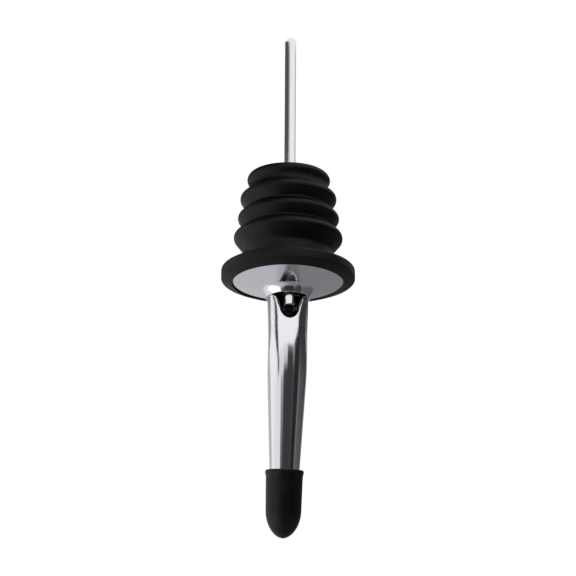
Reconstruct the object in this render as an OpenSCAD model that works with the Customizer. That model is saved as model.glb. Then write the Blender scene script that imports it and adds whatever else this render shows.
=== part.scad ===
// Free-flow liquor pourer: a bent chromed spout on a ribbed rubber cork,
// a breather tube that lets air back into the bottle, and a rubber cap on the tip.
// +Z points up out of the bottle, the vent faces -Y and the spout leans towards +Y.
// The origin is the centre of the flange face that sits on the bottle's rim.

/* [Cork] */
// Diameter of the flange that covers the bottle's rim
flange_d = 32; // [30:0.5:36]
// Height of the flange's upright edge
flange_edge_h = 2.5; // [2:0.1:4]
// Rise of the bevel from the flange's edge to the recess for the disc
flange_bevel_h = 1.1; // [0.7:0.05:1.6]
// Radius of the flange's corner on the bottle side
flange_under_round = 0.5; // [0.3:0.1:1.2]
// Radius of the flange's corner on the spout side
flange_top_round = 0.3; // [0.1:0.05:0.6]
// Diameter of the rib next to the flange
rib_d_flange = 26.1; // [24.5:0.1:28]
// Diameter of the second rib
rib_d_upper = 24.2; // [23:0.1:26]
// Diameter of the third rib
rib_d_lower = 23.2; // [21.5:0.1:24]
// Diameter of the rib at the bottle end
rib_d_end = 20; // [19.4:0.1:22]
// Depth of the first rib's crest below the bottle's rim
rib_first_depth = 7.9; // [6.5:0.1:10]
// Distance from one rib's crest to the next
rib_pitch = 5; // [4.8:0.1:6.5]
// Radius of each rib's crest
rib_round = 1.2; // [0.6:0.05:1.4]
// Slope of a rib's spout side, in degrees from the axis
rib_upper_slope = 38; // [30:1:55]
// Slope of a rib's bottle side, in degrees from the axis
rib_lower_slope = 55; // [45:1:65]
// Diameter of the cork between its ribs, at the flange
core_d_flange = 22; // [20:0.1:23]
// Diameter of the cork between its ribs, at the bottle end
core_d_end = 18.2; // [17:0.1:18.6]

/* [Disc] */
// Diameter of the pressed metal disc
disc_d = 26.5; // [24:0.25:28]
// Thickness of the disc's sheet
disc_t = 0.4; // [0.3:0.05:0.6]
// Depth of the disc's rim below the top of the flange
disc_sink = 0.35; // [0.2:0.05:0.6]
// Slope of the disc's face, in degrees
disc_slope = 16.5; // [14:0.5:20]
// Radius of the cove between the disc's face and its collar
cove_r = 2.2; // [1.5:0.1:2.5]
// Height of the collar's straight lip
collar_lip_h = 0.1; // [0.1:0.05:1]

/* [Spout] */
// Diameter of the spout's root
spout_root_d = 9.8; // [9.4:0.1:11]
// Diameter of the spout along its bend
spout_bend_d = 9.3; // [8.8:0.1:9.6]
// Diameter of the spout's tip
spout_tip_d = 6; // [5:0.1:7]
// Wall of the spout's tube
spout_wall = 0.4; // [0.3:0.05:0.5]
// Length of the straight root above the collar
spout_straight = 7.75; // [7.5:0.05:12]
// Angle that the spout leans back by, in degrees
spout_bend = 11; // [5:0.5:20]
// Radius of the spout's bend
spout_bend_r = 57; // [30:1:80]
// Length of the straight taper after the bend
spout_taper_len = 33.6; // [25:0.2:45]
// Length of the root that goes down into the cork
spout_root_depth = 1.8; // [1:0.1:2.4]

/* [Vent] */
// Radius of the scoop pressed into the root
scoop_r = 2.45; // [2.2:0.05:2.6]
// Height of the scoop's end above the collar
scoop_h = 6.35; // [5.5:0.05:6.8]
// Depth of the scoop that the collar hides
scoop_hidden = 1.75; // [1.2:0.05:2.2]
// Length of breather tube that stands out of the collar
vent_out = 2.65; // [1.5:0.05:3.5]
// Depth of the solder around the breather tube
solder_h = 1.3; // [0.6:0.1:1.5]
// Thickness of the solder behind the breather tube, where it is thinnest
solder_wall = 0.1; // [0.06:0.01:0.15]

/* [Breather] */
// Outside diameter of the breather tube
breather_d = 2.7; // [2:0.1:2.8]
// Wall of the breather tube
breather_wall = 0.4; // [0.25:0.05:0.5]
// Length of breather tube below the cork
breather_tail = 34.9; // [20:0.1:60]
// Radius on the breather tube's edges
breather_round = 0.15; // [0.05:0.05:0.2]

/* [Stem] */
// Wall of the stem tube inside the cork
stem_wall = 0.4; // [0.3:0.05:0.5]
// Width of the stem's flared lip under the cork
stem_lip_w = 1.4; // [0.8:0.1:2.5]
// Depth of the ring of braze below the foot of the disc's cove
braze_h = 1.2; // [0.6:0.1:1.6]

/* [Cap] */
// Length of the cap
cap_len = 16; // [14:0.2:20]
// Length of spout inside the cap
cap_grip = 11; // [8:0.2:11.4]
// Diameter of the cap's thick rim
cap_rim_d = 9.1; // [8.8:0.1:10.5]
// Height of the cap's thick rim
cap_rim_h = 0.7; // [0.4:0.1:1.5]
// Height over which the rim thins down to the cap's body
cap_thin_h = 0.7; // [0.4:0.1:1.5]
// Diameter of the cap just past its rim
cap_body_d = 8.7; // [8.5:0.05:9]
// Diameter of the cap where its nose starts
cap_nose_d = 8.4; // [8:0.05:8.5]
// Length of the cap's nose
cap_nose_len = 6.6; // [5:0.1:7.5]
// Radius of the nose's tip
cap_tip_r = 2.2; // [1:0.05:3]

/* [Fits] */
// Gap between pieces that are fixed together
fit_gap = 0.05; // [0.02:0.01:0.08]
// Gap between the stem's top and the scoop's wall
stem_top_gap = 0.2; // [0.1:0.05:0.4]
// Gap between the cap and the spout
cap_gap = 0.06; // [0.03:0.01:0.09]

/* [Hidden] */

$fn = 96;
arc_steps = 10;
cut_overrun = 1;
rubber = [0.07, 0.07, 0.075];
chrome = [0.80, 0.81, 0.83];
steel = [0.68, 0.69, 0.71];
solder = [0.55, 0.55, 0.56];

// Radii that several pieces share
flange_r = flange_d / 2;
disc_r = disc_d / 2;
root_r = spout_root_d / 2;
bend_r = spout_bend_d / 2;
tip_r = spout_tip_d / 2;
root_bore_r = root_r - spout_wall;
stem_r = root_bore_r - fit_gap;
stem_bore_r = stem_r - stem_wall;
breather_r = breather_d / 2;
breather_y = -(stem_bore_r - fit_gap - breather_r);
collar_bore_r = root_r + fit_gap;
collar_r = collar_bore_r + disc_t;
recess_r = disc_r + fit_gap;

// Heights from the cork up to the collar's lip
rib_d = [rib_d_flange, rib_d_upper, rib_d_lower, rib_d_end];
last_rib = len(rib_d) - 1;
function rib_z(k) = -(rib_first_depth + k * rib_pitch);
cork_end_z = rib_z(last_rib) - rib_round;
flange_top_z = flange_edge_h + flange_bevel_h;
disc_rim_z = flange_top_z - disc_sink;
disc_under_z = disc_rim_z - disc_t / cos(disc_slope);
cove_centre_r = collar_r + cove_r;
disc_face_w = disc_r - cove_centre_r + cove_r * sin(disc_slope);
cove_centre_z = disc_rim_z + disc_face_w * tan(disc_slope) + cove_r * cos(disc_slope);
lip_z = cove_centre_z + collar_lip_h;
root_end_z = disc_rim_z - spout_root_depth;

// Height of the disc's underside at radius r, out on its sloping face
function disc_under(r) = disc_under_z + (disc_r - r) * tan(disc_slope);

// The braze fills the hollow of the cove, from the spout out to where the disc's face starts
braze_top_r = cove_r + disc_t + fit_gap;
braze_r = cove_centre_r - braze_top_r * sin(disc_slope);
braze_z = disc_under(braze_r) - braze_h;

// The scoop runs up the front of the root, with room for solder behind the breather tube
scoop_floor_y = breather_y + breather_r + solder_wall + 2 * fit_gap;
scoop_y = scoop_floor_y - scoop_r;
scoop_start_z = lip_z - scoop_hidden;
scoop_reach = bend_r + scoop_y;
scoop_end_z = lip_z + scoop_h - sqrt(pow(scoop_r, 2) - pow(scoop_reach, 2));
stem_top_z = scoop_start_z - stem_top_gap;

// The spout's axis: straight up, round the bend, then straight along the taper
root_top_z = lip_z + spout_straight;
bend_end_y = spout_bend_r * (1 - cos(spout_bend));
bend_end_z = root_top_z + spout_bend_r * sin(spout_bend);

// Each length of tube ends inside the one before, and is a hair smaller there
seam_lap = 0.6;
seam_step = 0.02;
lap_angle = seam_lap / spout_bend_r * 180 / PI;
taper_r = bend_r - 2 * seam_step;
taper_rate = (taper_r - tip_r) / (spout_taper_len + seam_lap);

// Points on an arc of radius r from angle a0 to angle a1
function arc(c, r, a0, a1) =
    [for (i = [0 : arc_steps])
        let (a = a0 + (a1 - a0) * i / arc_steps)
        c + r * [cos(a), sin(a)]];

// The cork between its ribs is a cone: its radius at height z, and its slope
core_slope = (core_d_flange - core_d_end) / 2 / -cork_end_z;
function core_r(z) = core_d_flange / 2 + core_slope * z;

// Where a line through p at the given slope from the axis reaches the cork's cone
function core_foot(p, slope) =
    let (rise = (p[0] - core_r(p[1])) / (slope + core_slope))
    [p[0] - slope * rise, p[1] + rise];

// Half outline of one rib: from its bottle side, over its crest, to its spout side
module rib_outline(k) {
    crest = arc([rib_d[k] / 2 - rib_round, rib_z(k)], rib_round,
                k == last_rib ? -90 : -rib_lower_slope, rib_upper_slope);
    lower = k == last_rib ? crest[0] : core_foot(crest[0], -tan(rib_lower_slope));
    upper = core_foot(crest[arc_steps], tan(rib_upper_slope));
    polygon(concat([[0, lower[1]], lower], crest, [upper, [0, upper[1]]]));
}

// Half outline of the flange, with its bevel up to the recess for the disc
module flange_outline() {
    bevel = atan(flange_bevel_h / (flange_r - recess_r));
    top_inset = flange_top_round * tan((90 - bevel) / 2);
    polygon(concat(
        [[0, 0]],
        arc([flange_r - flange_under_round, flange_under_round], flange_under_round, -90, 0),
        arc([flange_r - flange_top_round, flange_edge_h - top_inset], flange_top_round,
            0, 90 - bevel),
        [[recess_r, flange_top_z],
         [recess_r, disc_under(disc_r) - fit_gap],
         [0, disc_under(0) - fit_gap]]));
}

// The moulded stopper: ribs that grip the bottle's neck under a flange for its rim
module cork() {
    braze_hole_r = braze_r + fit_gap;
    shelf_z = braze_z - fit_gap;
    counterbore_z = root_end_z - fit_gap;
    color(rubber)
        rotate_extrude()
            difference() {
                union() {
                    polygon([[0, rib_z(last_rib)],
                             [core_r(rib_z(last_rib)), rib_z(last_rib)],
                             [core_r(0), 0],
                             [0, 0]]);
                    flange_outline();
                    for (k = [0 : last_rib])
                        rib_outline(k);
                }
                polygon([[0, cork_end_z - cut_overrun],
                         [stem_r + fit_gap, cork_end_z - cut_overrun],
                         [stem_r + fit_gap, counterbore_z],
                         [collar_bore_r, counterbore_z],
                         [collar_bore_r, shelf_z],
                         [braze_hole_r, shelf_z],
                         [braze_hole_r, lip_z],
                         [0, lip_z]]);
            }
}

// Steel tube through the cork, with a lip that holds the cork up against the disc
module stem_tube() {
    lip_top_z = cork_end_z - fit_gap;
    lip_end_z = lip_top_z - stem_wall;
    color(steel)
        rotate_extrude()
            polygon([[stem_bore_r, stem_top_z],
                     [stem_bore_r, lip_end_z],
                     [stem_r + stem_lip_w, lip_end_z],
                     [stem_r + stem_lip_w, lip_top_z],
                     [stem_r, lip_top_z],
                     [stem_r, stem_top_z]]);
}

// Thin air tube from deep in the bottle to the vent at the foot of the spout
module breather_tube() {
    low_z = cork_end_z - breather_tail;
    high_z = lip_z + vent_out;
    bore_r = breather_r - breather_wall;
    edge_r = breather_r - breather_round;
    color(steel)
        translate([0, breather_y, 0])
            rotate_extrude()
                polygon(concat(
                    arc([edge_r, low_z + breather_round], breather_round, -90, 0),
                    arc([edge_r, high_z - breather_round], breather_round, 0, 90),
                    [[bore_r, high_z], [bore_r, low_z]]));
}

// Pressed disc with a coved collar that the spout stands in
module collar_disc() {
    centre = [cove_centre_r, cove_centre_z];
    face_end = 270 - disc_slope;
    color(chrome)
        rotate_extrude()
            polygon(concat(
                [[collar_bore_r, lip_z], [collar_r, lip_z]],
                arc(centre, cove_r, 180, face_end),
                [[disc_r, disc_rim_z], [disc_r, disc_under_z]],
                arc(centre, cove_r + disc_t, face_end, 180)));
}

// Ring of braze in the hollow under the collar, which fixes the disc to the spout
module collar_braze() {
    inner_r = root_r + fit_gap;
    top_end = 180 + acos((cove_centre_r - inner_r) / braze_top_r);
    color(solder)
        rotate_extrude()
            polygon(concat(
                [[inner_r, braze_z], [braze_r, braze_z]],
                arc([cove_centre_r, cove_centre_z], braze_top_r, 270 - disc_slope, top_end)));
}

// Moves its children to the end of the bend, with Z along the taper
module at_taper() {
    translate([0, bend_end_y, bend_end_z])
        rotate([-spout_bend, 0, 0])
            children();
}

// The spout's outside, or its bore when inset is the wall and over runs past both ends
module spout_solid(inset, over) {
    low_z = root_end_z - over;
    end_r = tip_r - inset - taper_rate * over;
    rotate_extrude()
        polygon([[0, low_z],
                 [root_r - inset, low_z],
                 [root_r - inset, lip_z],
                 [bend_r - inset, root_top_z],
                 [0, root_top_z]]);
    translate([0, spout_bend_r, root_top_z])
        rotate([90, 0, -90])
            rotate([0, 0, -lap_angle])
                rotate_extrude(angle = spout_bend + lap_angle)
                    translate([spout_bend_r, 0])
                        circle(r = bend_r - seam_step - inset);
    at_taper()
        translate([0, 0, -seam_lap])
            cylinder(r1 = taper_r - inset, r2 = end_r, h = seam_lap + spout_taper_len + over);
}

// The scoop's hollow, or the outside of its wall when grow is the wall
module scoop_solid(grow) {
    translate([0, scoop_y, 0])
        rotate_extrude()
            polygon(concat(
                [[0, scoop_start_z], [scoop_r + grow, scoop_start_z]],
                arc([0, scoop_end_z], scoop_r + grow, 0, 90)));
}

// Drawn tube that pours, with a scoop pressed into its root for the vent
module spout_tube() {
    color(chrome)
        difference() {
            union() {
                difference() {
                    spout_solid(0, 0);
                    spout_solid(spout_wall, cut_overrun);
                }
                intersection() {
                    spout_solid(0, 0);
                    scoop_solid(spout_wall);
                }
            }
            scoop_solid(0);
        }
}

// Plug of solder that seals the breather tube into the bottom of the scoop
module vent_solder() {
    plug_r = scoop_r - fit_gap;
    color(solder)
        difference() {
            intersection() {
                translate([0, scoop_y, scoop_start_z])
                    cylinder(r = plug_r, h = solder_h);
                translate([0, 0, scoop_start_z])
                    cylinder(r = root_r, h = solder_h);
            }
            translate([0, breather_y, scoop_start_z - cut_overrun])
                cylinder(r = breather_r + fit_gap, h = solder_h + 2 * cut_overrun);
        }
}

// Soft cap pushed over the spout's tip, with a bullet nose
module tip_cap() {
    rim_s = spout_taper_len - cap_grip;
    nose_r = cap_nose_d / 2;
    nose_s = cap_len - cap_nose_len;
    tip_s = cap_len - cap_tip_r;
    side_r = (pow(nose_r, 2) - pow(cap_tip_r, 2) + pow(cap_nose_len - cap_tip_r, 2))
             / (2 * (nose_r - cap_tip_r));
    side_end = atan((cap_nose_len - cap_tip_r) / (side_r - nose_r));
    mouth_r = tip_r + taper_rate * cap_grip + cap_gap;
    rim_round = cap_rim_h / 2;
    color(rubber)
        at_taper()
            translate([0, 0, rim_s])
                rotate_extrude()
                    polygon(concat(
                        arc([cap_rim_d / 2 - rim_round, rim_round], rim_round, -90, 0),
                        [[cap_rim_d / 2, cap_rim_h],
                         [cap_body_d / 2, cap_rim_h + cap_thin_h]],
                        arc([nose_r - side_r, nose_s], side_r, 0, side_end),
                        arc([0, tip_s], cap_tip_r, side_end, 90),
                        [[0, cap_grip + cap_gap],
                         [tip_r + cap_gap, cap_grip + cap_gap],
                         [mouth_r, 0]]));
}

cork();
stem_tube();
breather_tube();
collar_disc();
collar_braze();
spout_tube();
vent_solder();
tip_cap();
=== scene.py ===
import bmesh
import bpy
import numpy as np
from mathutils import Matrix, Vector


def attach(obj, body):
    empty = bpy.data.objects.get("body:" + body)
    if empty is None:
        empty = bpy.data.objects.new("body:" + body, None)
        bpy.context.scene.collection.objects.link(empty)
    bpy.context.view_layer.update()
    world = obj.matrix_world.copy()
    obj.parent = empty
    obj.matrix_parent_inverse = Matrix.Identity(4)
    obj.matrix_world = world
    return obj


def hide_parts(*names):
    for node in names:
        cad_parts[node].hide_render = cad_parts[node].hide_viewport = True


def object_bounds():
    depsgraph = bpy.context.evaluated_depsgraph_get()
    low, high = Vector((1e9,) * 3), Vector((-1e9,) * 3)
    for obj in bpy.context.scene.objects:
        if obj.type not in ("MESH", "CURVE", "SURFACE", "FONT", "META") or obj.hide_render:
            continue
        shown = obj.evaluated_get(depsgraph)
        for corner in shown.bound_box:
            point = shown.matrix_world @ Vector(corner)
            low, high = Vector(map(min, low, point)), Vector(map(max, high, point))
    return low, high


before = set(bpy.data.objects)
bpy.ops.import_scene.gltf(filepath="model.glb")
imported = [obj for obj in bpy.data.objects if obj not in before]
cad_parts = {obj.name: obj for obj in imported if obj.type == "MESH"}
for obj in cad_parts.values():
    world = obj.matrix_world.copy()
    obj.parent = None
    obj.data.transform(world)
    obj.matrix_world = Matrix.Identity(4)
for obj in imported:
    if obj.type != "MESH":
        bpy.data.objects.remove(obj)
cad_low, cad_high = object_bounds()


# The studio: a white table top in a white room, seen by a camera that hangs upside down.
# One broad lamp stands beside the table, and cards round it give the chrome its dark bands.
# The cards show in reflections only, as a photographer's cards stay out of the picture.
mm = 0.001
scene = bpy.context.scene
scene.view_settings.view_transform = "Standard"

view_azimuth, view_elevation, view_roll = np.radians([6.0, 19.92, 180.35])
view_distance = 650 * mm
view_centre = np.array([0.0, 0.0, 4.6]) * mm
lens_mm = 170.6

level = np.cos(view_elevation)
back = np.array([np.sin(view_azimuth) * level, -np.cos(view_azimuth) * level,
                 np.sin(view_elevation)])
right = np.array([np.cos(view_azimuth), np.sin(view_azimuth), 0.0])
up = np.cross(back, right)
stand = np.eye(4)
stand[:3, 0] = np.cos(view_roll) * right + np.sin(view_roll) * up
stand[:3, 1] = np.cos(view_roll) * up - np.sin(view_roll) * right
stand[:3, 2] = back
stand[:3, 3] = view_centre + view_distance * back
camera = bpy.data.objects.new("camera", bpy.data.cameras.new("camera"))
camera.data.lens = lens_mm
camera.matrix_world = Matrix(stand.tolist())
scene.collection.objects.link(camera)
scene.camera = camera


def add(tree, kind, inputs=(), **settings):
    """A new shader node. Each named or numbered input is linked if it is given a socket, and set if not."""
    made = tree.nodes.new(kind)
    for name, value in settings.items():
        setattr(made, name, value)
    for name, value in dict(inputs).items():
        if isinstance(value, bpy.types.NodeSocket):
            tree.links.new(value, made.inputs[name])
        else:
            made.inputs[name].default_value = value
    return made


def plain_rays(tree):
    """1 for the rays that show the room itself, to the camera or in metal and glass; 0 for its light."""
    path = add(tree, "ShaderNodeLightPath").outputs
    seen = add(tree, "ShaderNodeMath", {0: path["Is Camera Ray"], 1: path["Is Glossy Ray"]},
               operation="MAXIMUM")
    return add(tree, "ShaderNodeMath", {0: seen.outputs[0], 1: path["Is Transmission Ray"]},
               operation="MAXIMUM").outputs[0]


white = (1, 1, 1, 1)
room_white = (0.93, 0.93, 0.97, 1)
room_light = 0.55

room = bpy.data.worlds.new("white_room")
room.use_nodes = True
scene.world = room
tree = room.node_tree
tree.nodes.clear()
path = add(tree, "ShaderNodeLightPath").outputs
seen_white = add(tree, "ShaderNodeBackground", {"Color": white, "Strength": 1.0})
mirrored = add(tree, "ShaderNodeBackground", {"Color": room_white, "Strength": 1.0})
lighting = add(tree, "ShaderNodeBackground", {"Color": room_white, "Strength": room_light})
unseen = add(tree, "ShaderNodeMixShader", {0: plain_rays(tree), 1: lighting.outputs[0],
                                           2: mirrored.outputs[0]})
whole = add(tree, "ShaderNodeMixShader", {0: path["Is Camera Ray"], 1: unseen.outputs[0],
                                          2: seen_white.outputs[0]})
add(tree, "ShaderNodeOutputWorld", {"Surface": whole.outputs[0]})


def patch(name, corner, along, across):
    """A flat four-sided sheet on a grid of 2 by 2: the corner point, plus shares 0 to 1 of two edge
    vectors, in millimetres. Its UV map holds the two shares."""
    share = np.array([0.0, 1.0])
    points = (np.array(corner) + share[:, None, None] * np.array(along)
              + share[None, :, None] * np.array(across)) * mm
    mesh = bpy.data.meshes.new(name)
    mesh.from_pydata(points.reshape(-1, 3).tolist(), [], [(0, 2, 3, 1)])
    uv = mesh.uv_layers.new(name="sheet")
    uv.data.foreach_set("uv", [0, 0, 1, 0, 1, 1, 0, 1])
    made = bpy.data.objects.new(name, mesh)
    scene.collection.objects.link(made)
    return made


def bare_material(name):
    """A new material with an empty node tree, and that tree."""
    made = bpy.data.materials.new(name)
    made.use_nodes = True
    made.node_tree.nodes.clear()
    return made, made.node_tree


floor_gap, floor_half = 0.3, 1500
floor_z = cad_low.z / mm - floor_gap
floor_glow = 0.76
floor_grey = (0.5, 0.5, 0.5, 1)

floor = patch("floor", (-floor_half, -floor_half, floor_z), (2 * floor_half, 0, 0), (0, 2 * floor_half, 0))
paint, tree = bare_material("table_top")
glow = add(tree, "ShaderNodeMath", {0: plain_rays(tree), 1: floor_glow}, operation="MULTIPLY")
own = add(tree, "ShaderNodeEmission", {"Color": white, "Strength": glow.outputs[0]})
lit = add(tree, "ShaderNodeBsdfDiffuse", {"Color": floor_grey})
both = add(tree, "ShaderNodeAddShader", {0: own.outputs[0], 1: lit.outputs[0]})
add(tree, "ShaderNodeOutputMaterial", {"Surface": both.outputs[0]})
floor.data.materials.append(paint)


def card(name, corner, along, across, start, stop, near=0.0, far=1.0):
    """A sheet that only reflections show. Its grey runs smoothly from start to stop along its first
    edge, between the shares near and far of that edge."""
    made = patch(name, corner, along, across)
    made.visible_camera = made.visible_diffuse = made.visible_shadow = False
    made.visible_transmission = False
    stuff, tree = bare_material(name)
    place = add(tree, "ShaderNodeSeparateXYZ", {0: add(tree, "ShaderNodeUVMap").outputs[0]})
    grey = add(tree, "ShaderNodeMapRange", {
        "Value": place.outputs[0], "From Min": near, "From Max": far, "To Min": start, "To Max": stop},
        interpolation_type="SMOOTHSTEP")
    glow = add(tree, "ShaderNodeEmission", {"Color": room_white, "Strength": grey.outputs[0]})
    add(tree, "ShaderNodeOutputMaterial", {"Surface": glow.outputs[0]})
    made.data.materials.append(stuff)


def upright(name, start, stop, low, high, *greys):
    """A card that stands on the line between two points of the plan, from one height to another, and
    is graded from its lower edge up."""
    run = (stop[0] - start[0], stop[1] - start[1], 0)
    card(name, (*start, low), (0, 0, high - low), run, *greys)


def laid(name, corner, along, across, grey, lift=1):
    """A card of one grey that lies a little over the table top."""
    card(name, (*corner, floor_z + lift), (*along, 0), (*across, 0), grey, grey)


right_x, left_x, front_y, back_y = -190, 360, -390, 190
eye_level, wall_top = 110, 520
left_foot_z = 40
room_wide, room_deep, room_high = left_x - right_x, back_y - front_y, wall_top - floor_z

# First the walls of cards round the table, then cards on the table top, behind and above, and
# last the three round the breather tube's lower end
upright("right_corner_low", (right_x, front_y), (right_x, -250), floor_z, eye_level, 0.35, 0.07, 0.05, 0.65)
upright("right_front_low", (right_x, -250), (right_x, -85), floor_z, eye_level, 0.025, 0.025)
upright("right_front_high", (right_x, front_y), (right_x, -85), eye_level, wall_top, 0.06, 0.24, 0.3, 0.8)
upright("right_gap", (right_x, -85), (right_x, -55), floor_z, eye_level, 0.05, 0.21, 0.1, 0.6)
upright("right_back_low", (right_x, -55), (right_x, back_y), floor_z, eye_level, 0.04, 0.14, 0.0, 0.8)
upright("right_high", (right_x, -85), (right_x, back_y), eye_level, wall_top, 0.14, 0.24, 0.0, 0.3)
upright("front_right_low", (right_x, front_y), (30, front_y), floor_z, eye_level, 0.25, 0.05, 0.0, 0.3)
upright("front_low", (30, front_y), (190, front_y), floor_z, eye_level, 0.85, 0.05, 0.2, 0.75)
upright("front_high", (right_x, front_y), (190, front_y), eye_level, wall_top, 0.05, 0.03)
upright("front_gap_low", (190, front_y), (510, front_y), floor_z, eye_level, 0.88, 0.3, 0.65, 0.95)
upright("front_left_low", (510, front_y), (750, front_y), floor_z, eye_level, 0.06, 0.1)
upright("front_left_high", (190, front_y), (750, front_y), eye_level, wall_top, 0.08, 0.4, 0.5, 1.0)
upright("left_high", (left_x, front_y), (left_x, back_y), left_foot_z, wall_top, 0.93, 0.58, 0.25, 0.85)
laid("table_gap", (160, 20), (35, -100), (45, 15), 0.04)
laid("table_gap_far", (178, -75), (420, -330), (60, 60), 0.05, lift=2)
laid("right_front_floor", (-88, -57), (-125, -81), (-40, 70), 0.02)
laid("right_floor", (-165, -20), (90, 210), (-80, 0), 0.05)
laid("back_floor", (25, 95), (170, 0), (0, 95), 0.3)
card("backdrop", (left_x, back_y, floor_z), (-room_wide, 0, 0), (0, 0, room_high), 0.58, 0.24, 0.655, 0.735)
card("backdrop_low", (60, back_y - 1, 0), (300, 0, 0), (0, 0, 330), 0.58, 0.93, 0.0, 0.6)
card("ceiling", (right_x, front_y, wall_top), (room_wide, 0, 0), (0, room_deep, 0), 0.24, 0.58, 0.2, 0.8)
laid("tube_left_card", (0.3, -2.6), (80, -100), (20, 210), 0.1)
laid("tube_front_card", (0.3, -2.6), (24, -100), (40, -50), 0.5)
laid("tube_right_card", (-0.3, -2.6), (-100, 20), (0, 90), 0.5)

# The lamp faces along -X, towards the object
lamp_place = (240, -65, 195)
lamp_wide, lamp_high, lamp_watts = 330, 190, 0.13
lamp = bpy.data.objects.new("side_lamp", bpy.data.lights.new("side_lamp", "AREA"))
lamp.data.shape = "RECTANGLE"
lamp.data.size, lamp.data.size_y = lamp_wide * mm, lamp_high * mm
lamp.data.energy = lamp_watts
lamp.matrix_world = (Matrix.Translation([x * mm for x in lamp_place])
                     @ Matrix(((0, 0, 1), (1, 0, 0), (0, 1, 0))).to_4x4())
scene.collection.objects.link(lamp)


# The cork: one moulding of soft black rubber, with a flange for the bottle's rim and four
# ribs that fold against the neck. Its skin is matt, with a faint grey bloom.
cork_turns, rib_rows = 192, 230
flange_r, flange_edge_z, flange_rim_z, recess_r = 15.98, 2.5, 3.6, 13.3
flange_under_round, flange_top_round, recess_edge = 0.5, 0.3, 0.1
rib_crest_r = np.array([13.05, 12.1, 11.6, 10.0])
rib_crest_z = np.array([-7.9, -12.9, -17.9, -22.9])
rib_round = 1.2
rib_upper_slope, rib_lower_slope = np.radians([38.0, 55.0])
core_r_flange, core_r_end, cork_end_z = 11.0, 9.1, -24.1
neck_round = 0.7
valley_softness = 0.3
bore_r, counterbore_r, braze_hole_r = 4.5, 4.95, 6.847
counterbore_z, shelf_z, recess_z, braze_hole_z = 1.4, 3.494, 2.783, 4.687
rib_wave, wave_taper, wave_foot, wave_top_z = 0.05, 0.08, 0.6, -1


def arc(centre_r, centre_z, radius, start, stop, count=9):
    """Points of a circle round (centre_r, centre_z), from one angle to another in even steps of degrees."""
    angle = np.radians(np.linspace(start, stop, count))
    return np.stack([centre_r + radius * np.cos(angle), centre_z + radius * np.sin(angle)], -1)


def ribbed_radius(z):
    """The cork's radius at height z: a cone and four ribs, each a round crest with a straight flank on
    either side, joined by the softened maximum s * log(sum(exp(r / s))) so that the valleys are rounded."""
    cone = core_r_flange + (core_r_flange - core_r_end) * z / -cork_end_z
    off = z[:, None] - rib_crest_z
    high = rib_round * np.sin(rib_upper_slope)
    low = rib_round * np.sin(rib_lower_slope)
    crest = np.sqrt(rib_round ** 2 - np.clip(off, -low, high) ** 2) - rib_round
    flank = (np.tan(rib_upper_slope) * np.maximum(off - high, 0)
             + np.tan(rib_lower_slope) * np.maximum(-low - off, 0))
    each = np.column_stack([cone, rib_crest_r + crest - flank])
    top = each.max(1)
    return top + valley_softness * np.log(np.exp((each - top[:, None]) / valley_softness).sum(1))


def revolve(profile, turns):
    """A grid of points: each (r, z) of the profile carried round the Z axis in even turns."""
    angle = np.arange(turns) * 2 * np.pi / turns
    r, z = profile[:, :1], profile[:, 1:]
    return np.stack([r * np.cos(angle), r * np.sin(angle), z + 0 * angle], -1)


def shell(name, points, body, closed_rows=True, sharp=50, shade_marks=None):
    """An object from a grid of points in millimetres, rows by columns. Each face joins four neighbours,
    the columns meet round the piece, and the rows meet too where closed_rows is true. Points that
    coincide, as on the axis, become one. The UV map runs 0 to 1 round the piece and 0 to 1 along it,
    and the marks, shares 0 to 1 of painted shade, one for each point, are kept as the attribute called
    pressed."""
    rows, columns = points.shape[:2]
    r = np.arange(rows if closed_rows else rows - 1)[:, None]
    c = np.arange(columns)[None, :]
    step_r, step_c = np.array([0, 0, 1, 1]), np.array([0, 1, 1, 0])
    row = r[..., None] + step_r + 0 * c[..., None]
    column = c[..., None] + step_c + 0 * r[..., None]
    faces = (row % rows * columns + column % columns).reshape(-1, 4)
    mesh = bpy.data.meshes.new(name)
    mesh.from_pydata((points.reshape(-1, 3) * mm).tolist(), [], faces.tolist())
    uv = mesh.uv_layers.new(name="wrap")
    uv.data.foreach_set("uv", np.stack([column / columns, row / rows], -1).astype(np.float32).ravel())
    if shade_marks is not None:
        pressed = mesh.attributes.new("pressed", "FLOAT", "POINT")
        pressed.data.foreach_set("value", shade_marks.astype(np.float32).ravel())
    work = bmesh.new()
    work.from_mesh(mesh)
    bmesh.ops.remove_doubles(work, verts=work.verts, dist=1e-4 * mm)
    bmesh.ops.recalc_face_normals(work, faces=work.faces)
    work.to_mesh(mesh)
    work.free()
    mesh.shade_smooth()
    mesh.set_sharp_from_angle(angle=np.radians(sharp))
    made = bpy.data.objects.new(name, mesh)
    scene.collection.objects.link(made)
    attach(made, body)
    return made


rib_z = np.linspace(rib_crest_z[-1], -neck_round, rib_rows)
bevel = np.degrees(np.arctan((flange_rim_z - flange_edge_z) / (flange_r - recess_r)))
top_inset = flange_top_round * np.tan(np.radians(90 - bevel) / 2)
neck_r = ribbed_radius(np.array([-neck_round]))[0]
cork_profile = np.concatenate([
    [[bore_r, cork_end_z]],
    arc(rib_crest_r[-1] - rib_round, rib_crest_z[-1], rib_round, -90, -5),
    np.stack([ribbed_radius(rib_z), rib_z], -1),
    arc(neck_r + neck_round, -neck_round, neck_round, 180, 90)[1:],
    arc(flange_r - flange_under_round, flange_under_round, flange_under_round, -90, 0),
    arc(flange_r - flange_top_round, flange_edge_z - top_inset, flange_top_round, 0, 90 - bevel),
    [[recess_r + recess_edge, flange_rim_z], [recess_r, flange_rim_z - recess_edge], [recess_r, recess_z],
     [braze_hole_r, braze_hole_z], [braze_hole_r, shelf_z], [counterbore_r, shelf_z],
     [counterbore_r, counterbore_z], [bore_r, counterbore_z]]])

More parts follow.
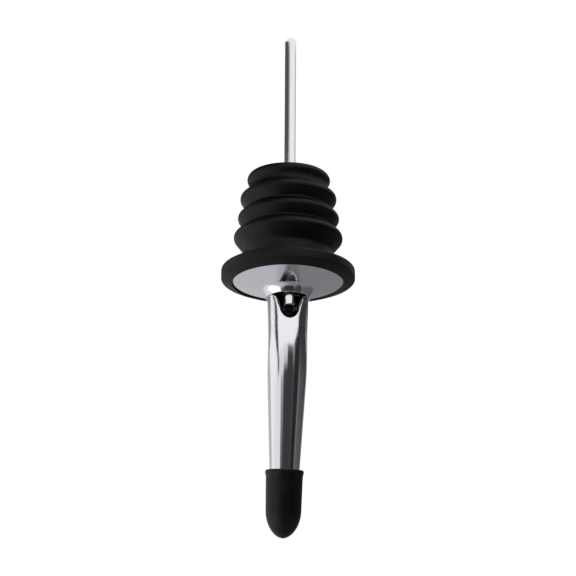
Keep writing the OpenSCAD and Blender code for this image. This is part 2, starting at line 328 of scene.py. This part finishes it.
# The ribs sway a little out of round: a wave of two lobes and a smaller one of five, both
# turning with the height, and fading out towards the core
cork_points = revolve(cork_profile, cork_turns)
turn = np.arange(cork_turns) * 2 * np.pi / cork_turns
height = cork_profile[:, 1:]
proud = cork_profile[:, :1] - core_r_flange - wave_taper * height
on_rib = np.clip(proud + wave_foot, 0, 1) * (height < wave_top_z)
sway = on_rib * rib_wave * (np.sin(2 * turn + 0.4 * height) + 0.6 * np.sin(5 * turn - 0.7 * height + 1.3))
cork_points[..., 0] += sway * np.cos(turn)
cork_points[..., 1] += sway * np.sin(turn)
cork = shell("cork_rubber", cork_points, "pourer")
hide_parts("cork")


def group(name, inputs, outputs):
    """An empty shader group. Its inputs are numbers given with their defaults, and its outputs are given
    with their socket kinds."""
    made = bpy.data.node_groups.new(name, "ShaderNodeTree")
    for label, value in inputs.items():
        socket = made.interface.new_socket(label, in_out="INPUT", socket_type="NodeSocketFloat")
        socket.default_value = value
    for label, kind in outputs.items():
        made.interface.new_socket(label, in_out="OUTPUT", socket_type=kind)
    return made, made.nodes.new("NodeGroupInput").outputs


def graded(tree, mask, start, stop, near=0.0, far=1.0):
    """A colour that runs from start to stop as a mask runs from near to far."""
    ramp = add(tree, "ShaderNodeValToRGB", {"Fac": mask})
    for stage, colour, place in zip(ramp.color_ramp.elements, (start, stop), (near, far)):
        stage.color = colour
        stage.position = place
    return ramp.outputs[0]


# Moulded rubber skin: fine grain, with soft patches of bloom that are greyer and rougher
skin, given = group("moulded_skin", {"Grain scale": 4000, "Bloom scale": 160},
                    {"Bloom": "NodeSocketFloat", "Grain": "NodeSocketFloat"})
spot = add(skin, "ShaderNodeTexCoord").outputs["Object"]
cloud = add(skin, "ShaderNodeTexNoise", {"Vector": spot, "Scale": given["Bloom scale"], "Detail": 4.0,
                                         "Roughness": 0.6})
bloom = add(skin, "ShaderNodeMapRange", {"Value": cloud.outputs[0], "From Min": 0.35, "From Max": 0.75},
            interpolation_type="SMOOTHSTEP")
grain = add(skin, "ShaderNodeTexNoise", {"Vector": spot, "Scale": given["Grain scale"], "Detail": 2.0})
add(skin, "NodeGroupOutput", {"Bloom": bloom.outputs[0], "Grain": grain.outputs[0]})


def rubber(name, dark, pale, smooth, rough, bloom_scale, bump):
    """Black rubber: the bloom mixes two greys and two roughnesses, and the grain lifts the surface."""
    made, tree = bare_material(name)
    look = add(tree, "ShaderNodeGroup", node_tree=skin)
    look.inputs["Bloom scale"].default_value = bloom_scale
    dull = add(tree, "ShaderNodeMapRange", {"Value": look.outputs["Bloom"], "To Min": smooth,
                                            "To Max": rough})
    lift = add(tree, "ShaderNodeBump", {"Height": look.outputs["Grain"], "Strength": bump,
                                        "Distance": 0.02 * mm})
    face = add(tree, "ShaderNodeBsdfPrincipled", {
        "Base Color": graded(tree, look.outputs["Bloom"], dark, pale), "Roughness": dull.outputs[0],
        "Normal": lift.outputs[0], "Specular IOR Level": 0.22})
    add(tree, "ShaderNodeOutputMaterial", {"Surface": face.outputs[0]})
    return made


cork.data.materials.append(rubber(
    "black_cork_rubber", dark=(0.0022, 0.0022, 0.0023, 1), pale=(0.0048, 0.0048, 0.005, 1),
    smooth=0.42, rough=0.58, bloom_scale=160, bump=0.35))


# The stem: a steel tube through the cork, rolled out at its lower end into a lip that holds
# the cork up. Only the lip shows, from below.
stem_turns = 96
stem_r, stem_bore_r, stem_lip_r = 4.45, 4.05, 5.85
stem_top_z, stem_low_z = 5.38, -24.55
stem_wall = stem_r - stem_bore_r
stem_bend = 0.25
stem_profile = np.concatenate([
    [[stem_bore_r, stem_top_z]],
    arc(stem_bore_r + stem_bend, stem_low_z + stem_bend, stem_bend, 180, 270, 7),
    arc(stem_lip_r - stem_wall / 2, stem_low_z + stem_wall / 2, stem_wall / 2, -90, 90, 11),
    [[stem_r, stem_low_z + stem_wall], [stem_r, stem_top_z]]])
stem = shell("stem", revolve(stem_profile, stem_turns), "pourer")
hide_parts("stem_tube")

# Drawn tube: faint lines that run along the piece, and soft smears that dull it
drawn, given = group("drawn_metal", {"Lines": 260, "Smear scale": 220},
                     {"Lines": "NodeSocketFloat", "Smear": "NodeSocketFloat"})
wrap = add(drawn, "ShaderNodeSeparateXYZ", {0: add(drawn, "ShaderNodeUVMap").outputs[0]})
round_piece = add(drawn, "ShaderNodeMath", {0: wrap.outputs[0], 1: given["Lines"]}, operation="MULTIPLY")
row_of_lines = add(drawn, "ShaderNodeCombineXYZ", {0: round_piece.outputs[0], 1: wrap.outputs[1]})
lines = add(drawn, "ShaderNodeTexNoise", {"Vector": row_of_lines.outputs[0], "Scale": 1.0, "Detail": 3.0})
smear = add(drawn, "ShaderNodeTexNoise", {"Vector": add(drawn, "ShaderNodeTexCoord").outputs["Object"],
                                          "Scale": given["Smear scale"], "Detail": 3.0})
add(drawn, "NodeGroupOutput", {"Lines": lines.outputs[0], "Smear": smear.outputs[0]})


def metal(name, colour, smooth, rough, line_count, line_depth, painted_shade=None):
    """Bright metal: the smears move its roughness between two values, and the drawn lines lift its surface.
    Where a colour for painted shade is given, the base colour darkens to it where the pressed attribute is
    high, as painted shade inside the scoop and the tube."""
    made, tree = bare_material(name)
    look = add(tree, "ShaderNodeGroup", node_tree=drawn)
    look.inputs["Lines"].default_value = line_count
    dull = add(tree, "ShaderNodeMapRange", {
        "Value": look.outputs["Smear"], "From Min": 0.3, "From Max": 0.7, "To Min": smooth, "To Max": rough})
    lift = add(tree, "ShaderNodeBump", {"Height": look.outputs["Lines"], "Strength": 1.0,
                                        "Distance": line_depth * mm})
    face = add(tree, "ShaderNodeBsdfPrincipled", {
        "Base Color": colour, "Metallic": 1.0, "Roughness": dull.outputs[0], "Normal": lift.outputs[0]})
    add(tree, "ShaderNodeOutputMaterial", {"Surface": face.outputs[0]})
    if painted_shade:
        # Painted shade: the base colour runs from the metal's own colour to the given dark colour as the
        # pressed attribute rises
        shade_mask = add(tree, "ShaderNodeAttribute", attribute_name="pressed")
        shaded_colour = graded(tree, shade_mask.outputs["Fac"], colour, painted_shade, near=0.1, far=0.6)
        tree.links.new(shaded_colour, face.inputs["Base Color"])
    return made


stem.data.materials.append(metal("drawn_steel", (0.72, 0.72, 0.75, 1), smooth=0.12, rough=0.2,
                                 line_count=120, line_depth=0.002))


# The breather: a thin steel tube that lets air in as the liquor runs out. It is soldered into
# the foot of the spout, and its cut ends are rounded off.
breather_turns, breather_rows = 64, 60
breather_y, breather_r, breather_bore_r = -2.65, 1.35, 0.95
breather_low_z, breather_top_z = -59.0, 9.98
breather_low_round, breather_top_round, breather_plain_end = 0.35, 0.15, 1.0
breather_z = np.linspace(breather_low_z + breather_plain_end, breather_top_z - breather_plain_end,
                         breather_rows)
breather_profile = np.concatenate([
    arc(breather_r - breather_low_round, breather_low_z + breather_low_round, breather_low_round, -90, 0),
    np.stack([np.full(breather_rows, breather_r), breather_z], -1),
    arc(breather_r - breather_top_round, breather_top_z - breather_top_round, breather_top_round, 0, 90),
    [[breather_bore_r, breather_top_z], [breather_bore_r, breather_low_z]]])
breather_points = revolve(breather_profile, breather_turns)
breather_points[..., 1] += breather_y
breather = shell("breather", breather_points, "pourer")
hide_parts("breather_tube")
breather.data.materials.append(metal("breather_steel", (0.78, 0.78, 0.81, 1), smooth=0.1, rough=0.16,
                                     line_count=60, line_depth=0.001))


# The disc: pressed from sheet, chromed and let into the flange. Its low cone flows up at the
# middle into a collar, which is brazed to the spout that stands in it.
disc_turns, face_rows, cove_rows = 192, 30, 60
disc_r, disc_t, disc_rim_z = 13.25, 0.4, 3.25
face_slope, collar_slope = np.radians([18.3, 66.0])
face_length, cove_length, cove_turn = 6.713, 2.49, 0.9
lip_z = 7.33
rim_round = 0.12
rim_inset = rim_round * np.tan((np.pi / 2 - face_slope) / 2)


def pressed_sheet():
    """The disc's face from rim to lip and its outward normals: a straight slope, then a cove in which the
    slope closes in on the collar's as exp(-length / turn), added up in short lengths."""
    length = np.concatenate([[rim_inset], np.full(face_rows, (face_length - rim_inset) / face_rows),
                             np.full(cove_rows, cove_length / cove_rows)])
    along = np.concatenate([[0], np.cumsum(length)])
    turned = 1 - np.exp(-np.maximum(along - face_length, 0) / cove_turn)
    slope = face_slope + (collar_slope - face_slope) * turned
    middle = (slope[1:] + slope[:-1]) / 2
    r = disc_r - np.concatenate([[0], np.cumsum(length * np.cos(middle))])
    z = disc_rim_z + np.concatenate([[0], np.cumsum(length * np.sin(middle))])
    return np.stack([r, z], -1), np.stack([np.sin(slope), np.cos(slope)], -1)


face, out = pressed_sheet()
rim_z = face[1, 1] - rim_round * np.cos(face_slope)
lip_centre = face[-1] - disc_t / 2 * out[-1]
lip_turn = np.degrees(np.arctan2(out[-1, 1], out[-1, 0]))
disc_profile = np.concatenate([
    arc(disc_r - rim_round, rim_z, rim_round, 0, 90 - np.degrees(face_slope), 7), face[2:],
    arc(*lip_centre, disc_t / 2, lip_turn, lip_turn + 180, 13)[1:-1], (face - disc_t * out)[::-1]])
disc = shell("disc", revolve(disc_profile, disc_turns), "pourer")
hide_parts("collar_disc")
chrome = (0.8, 0.8, 0.83, 1)
disc.data.materials.append(metal("disc_chrome", chrome, smooth=0.08, rough=0.13,
                                 line_count=12, line_depth=0.0005))


# The braze under the collar and the solder round the breather: dull grey metal that flowed
# into the joints and set. They keep the solids' own shapes.
def solder(name, colour):
    """Cast solder: one noise pits its surface and mottles its grey, down to four tenths in the pits."""
    made, tree = bare_material(name)
    spot = add(tree, "ShaderNodeTexCoord").outputs["Object"]
    mottle = add(tree, "ShaderNodeTexNoise", {"Vector": spot, "Scale": 900.0, "Detail": 4.0})
    dark = [0.4 * x for x in colour]
    lift = add(tree, "ShaderNodeBump", {"Height": mottle.outputs[0], "Strength": 0.5, "Distance": 0.05 * mm})
    face = add(tree, "ShaderNodeBsdfPrincipled", {
        "Base Color": graded(tree, mottle.outputs[0], (*dark, 1), (*colour, 1)), "Metallic": 0.9,
        "Roughness": 0.55, "Normal": lift.outputs[0]})
    add(tree, "ShaderNodeOutputMaterial", {"Surface": face.outputs[0]})
    return made


for name, colour in (("collar_braze", (0.3, 0.29, 0.27)), ("vent_solder", (0.12, 0.12, 0.125))):
    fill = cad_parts[name]
    fill.data.materials.clear()
    fill.data.materials.append(solder(name + "_metal", colour))


# The spout: a drawn and chromed tube that pours, bent back and tapered to its tip. Its root is
# pressed in at the front to make a scoop for the breather's end, which runs out in a soft tail.
root_r, bend_tube_r, tip_r, spout_wall = 4.9, 4.64, 3.0, 0.4
root_low_z, root_top_z = 1.45, 15.083
bend_radius, bend_angle, taper_length = 57.0, np.radians(11.0), 33.6
root_length = root_top_z - root_low_z
bend_length = bend_radius * bend_angle
spout_length = root_length + bend_length + taper_length
blend_length = 4.0
scoop_half, scoop_depth, scoop_bend_z, scoop_end_z = 2.25, 3.8, 10.5, 13.4
scoop_power, scoop_edge, scoop_outside = 3.0, 0.4, -8
scoop_foot_z, scoop_foot_h = 5.5, 1.3
mouth_flare, mouth_fade = 0.8, 1.05
flat_half, flat_edge, flat_end_z = 3.3, 0.15, 12.5
tail_depth, tail_half, tail_end_z = 0.35, 1.6, 21.0
press_fade = 0.5
spout_turns, front_share = 224, 0.72
foot_end, scoop_rows_end = 4, 21
foot_rows, scoop_rows, upper_rows, rim_rows = 9, 150, 80, 9


def tube_radius(s):
    """The spout's outside radius at path length s: straight runs between four radii, rounded off where
    they meet by averaging over the blend length."""
    knots = np.array([0, lip_z - root_low_z, root_length, root_length + bend_length, spout_length])
    radii = np.array([root_r, root_r, bend_tube_r, bend_tube_r, tip_r])
    slope = (tip_r - bend_tube_r) / taper_length
    window = np.linspace(-0.5, 0.5, 41) * blend_length
    at = s[:, None] + window
    return (np.interp(at, knots, radii) + slope * np.maximum(at - spout_length, 0)).mean(1)


def spout_axis(s):
    """Centre line at path length s: up the root, round the bend, then straight on, with its lean angle."""
    lean = np.clip((s - root_length) / bend_radius, 0, bend_angle)
    beyond = np.maximum(s - root_length - bend_length, 0)
    y = bend_radius * (1 - np.cos(lean)) + beyond * np.sin(lean)
    z = root_low_z + np.minimum(s, root_length) + bend_radius * np.sin(lean) + beyond * np.cos(lean)
    return y, z, lean


def dent(x, z):
    """How far the root's front is pressed in at width x and height z, and the scoop's share of that. The
    tube is first flattened to a chord, whose half width follows an ellipse up to the flat's end. The scoop
    is depth * (1 - q ** power), where q is 1 on its U-shaped edge, joined to the flat by a softened
    maximum. Its mouth flares as exp(-height), its foot rises inside the collar, and a trough runs on from
    its end."""
    up = np.clip((z - lip_z) / (flat_end_z - lip_z), 0, 1)
    chord = flat_half * np.sqrt(1 - up ** 2)
    over = np.sqrt(np.maximum(root_r ** 2 - x ** 2, 0)) - np.sqrt(root_r ** 2 - chord ** 2)
    flat = (over + np.sqrt(over ** 2 + flat_edge ** 2)) / 2 * (1 - up ** 4)
    rise = np.maximum(z - scoop_bend_z, 0) / (scoop_end_z - scoop_bend_z)
    half = scoop_half * (1 + mouth_flare * np.exp(-np.maximum(z - lip_z, 0) / mouth_fade))
    q = np.sqrt((x / half) ** 2 + rise ** 2)
    deeper = np.maximum(scoop_depth * (1 - q ** scoop_power), scoop_outside) - flat
    scoop = (deeper + np.sqrt(deeper ** 2 + scoop_edge ** 2)) / 2
    along = np.clip((z - scoop_bend_z) / (tail_end_z - scoop_bend_z), 0, 1)
    tail = tail_depth * np.exp(-(x / tail_half) ** 2) * (1 - along) ** 2 * (1 + 2 * along)
    foot = np.clip((z - scoop_foot_z) / scoop_foot_h, 0, 1)
    return (flat + scoop + tail) * foot ** 2 * (3 - 2 * foot), scoop / scoop_depth


# The outside: rows along the path, closest over the scoop and its tail, and columns round the
# tube, closest at the front. The pressing fades out towards the tube's sides.
half_wall = spout_wall / 2
s = np.concatenate([np.linspace(0, foot_end, foot_rows),
                    np.linspace(foot_end, scoop_rows_end, scoop_rows)[1:],
                    np.linspace(scoop_rows_end, spout_length - half_wall, upper_rows)[1:]])
u = np.linspace(-np.pi, np.pi, spout_turns, endpoint=False)
theta = u - front_share * np.sin(u)
axis_y, axis_z, lean = spout_axis(s)
radius = tube_radius(s)[:, None]
side = radius * np.sin(theta)
front = radius * np.cos(theta)
ahead = np.clip(np.cos(theta) / press_fade, 0, 1)
pushed, shade_mask = dent(side, axis_z[:, None])
front = front - pushed * ahead ** 2 * (3 - 2 * ahead)
outside = np.stack([side, axis_y[:, None] - front * np.cos(lean)[:, None],
                    axis_z[:, None] + front * np.sin(lean)[:, None]], -1)

# The wall: the rim at the tip is a half round, and the inside is the outside moved in along its
# normals, on every second row
along = np.gradient(outside, axis=0)
around = np.roll(outside, -1, 1) - np.roll(outside, 1, 1)
outward = np.cross(around, along)
outward /= np.linalg.norm(outward, axis=-1, keepdims=True)
roll = np.radians(np.linspace(0, 180, rim_rows))[1:-1, None, None]
tip_out = along[-1] / np.linalg.norm(along[-1], axis=-1, keepdims=True)
rim = outside[-1] + outward[-1] * half_wall * (np.cos(roll) - 1) + tip_out * half_wall * np.sin(roll)
inside = (outside - spout_wall * outward)[::-1][::2]
# Painted shade: the scoop's share of the dent and the whole inside of the tube mark where the spout's base
# colour is darkened, in place of the shade in the pocket and the bore
shade_mask = np.clip(shade_mask, 0, 1) * ahead
shade_marks = np.concatenate([shade_mask, np.zeros(rim.shape[:2]), np.ones(inside.shape[:2])])
spout = shell("spout", np.concatenate([outside, rim, inside]), "pourer", sharp=60, shade_marks=shade_marks)
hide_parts("spout_tube")
# The dark grey given last is painted shade for the spout's scoop and bore
spout.data.materials.append(metal("spout_chrome", chrome, smooth=0.1, rough=0.15, line_count=200,
                                  line_depth=0.0006, painted_shade=(0.2, 0.2, 0.208, 1)))


# The cap: a soft black dust cap with a bullet nose and a slightly flared mouth, moulded in one
# piece and pushed over the spout's tip. It pulls straight off along the spout.
cap_turns, cap_side_rows, cap_nose_rows = 128, 24, 48
cap_length, cap_grip = 15.96, 11.0
cap_rim_r, cap_rim_h, cap_thin_h, cap_body_r = 4.55, 0.7, 0.7, 4.35
cap_ease_r, cap_ease_h = 0.03, 0.3
cap_nose_r, cap_nose_length, nose_power = 4.2, 6.6, 1.1
cap_gap = 0.06
cap_mouth_r, cap_mouth_edge = 3.58, 0.15
cap_hollow_z = cap_grip + cap_gap
cap_thin_z = cap_rim_h + cap_thin_h
nose_z = cap_length - cap_nose_length

# The nose's radius falls as cos(a) ** power while its height grows as sin(a), for a quarter turn of a
bullet = np.linspace(0, np.pi / 2, cap_nose_rows)
nose = np.stack([cap_nose_r * np.maximum(np.cos(bullet), 0) ** nose_power,
                 nose_z + cap_nose_length * np.sin(bullet)], -1)
nose[-1, 0] = 0
cap_side = np.stack([np.linspace(cap_body_r, cap_nose_r, cap_side_rows),
                     np.linspace(cap_thin_z + cap_ease_h, nose_z, cap_side_rows)], -1)
cap_profile = np.concatenate([
    [[0, cap_hollow_z], [tip_r + cap_gap, cap_hollow_z], [cap_mouth_r, cap_mouth_edge],
     [cap_mouth_r + cap_mouth_edge, 0]],
    arc(cap_rim_r - cap_rim_h / 2, cap_rim_h / 2, cap_rim_h / 2, -90, 0),
    [[cap_rim_r, cap_rim_h], [cap_body_r + cap_ease_r, cap_thin_z]], cap_side[:-1], nose])

# The cap is turned about X by the spout's lean, and set where its mouth lies on the centre line
cap_points = revolve(cap_profile, cap_turns)
mouth_y, mouth_z, _ = (x[0] for x in spout_axis(np.array([spout_length - cap_grip])))
across, outwards = cap_points[..., 1].copy(), cap_points[..., 2].copy()
cap_points[..., 1] = mouth_y + across * np.cos(bend_angle) + outwards * np.sin(bend_angle)
cap_points[..., 2] = mouth_z - across * np.sin(bend_angle) + outwards * np.cos(bend_angle)
cap = shell("tip_cap_rubber", cap_points, "cap", closed_rows=False)
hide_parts("tip_cap")
cap.data.materials.append(rubber(
    "black_cap_rubber", dark=(0.004, 0.004, 0.0042, 1), pale=(0.007, 0.007, 0.0073, 1),
    smooth=0.36, rough=0.46, bloom_scale=260, bump=0.25))
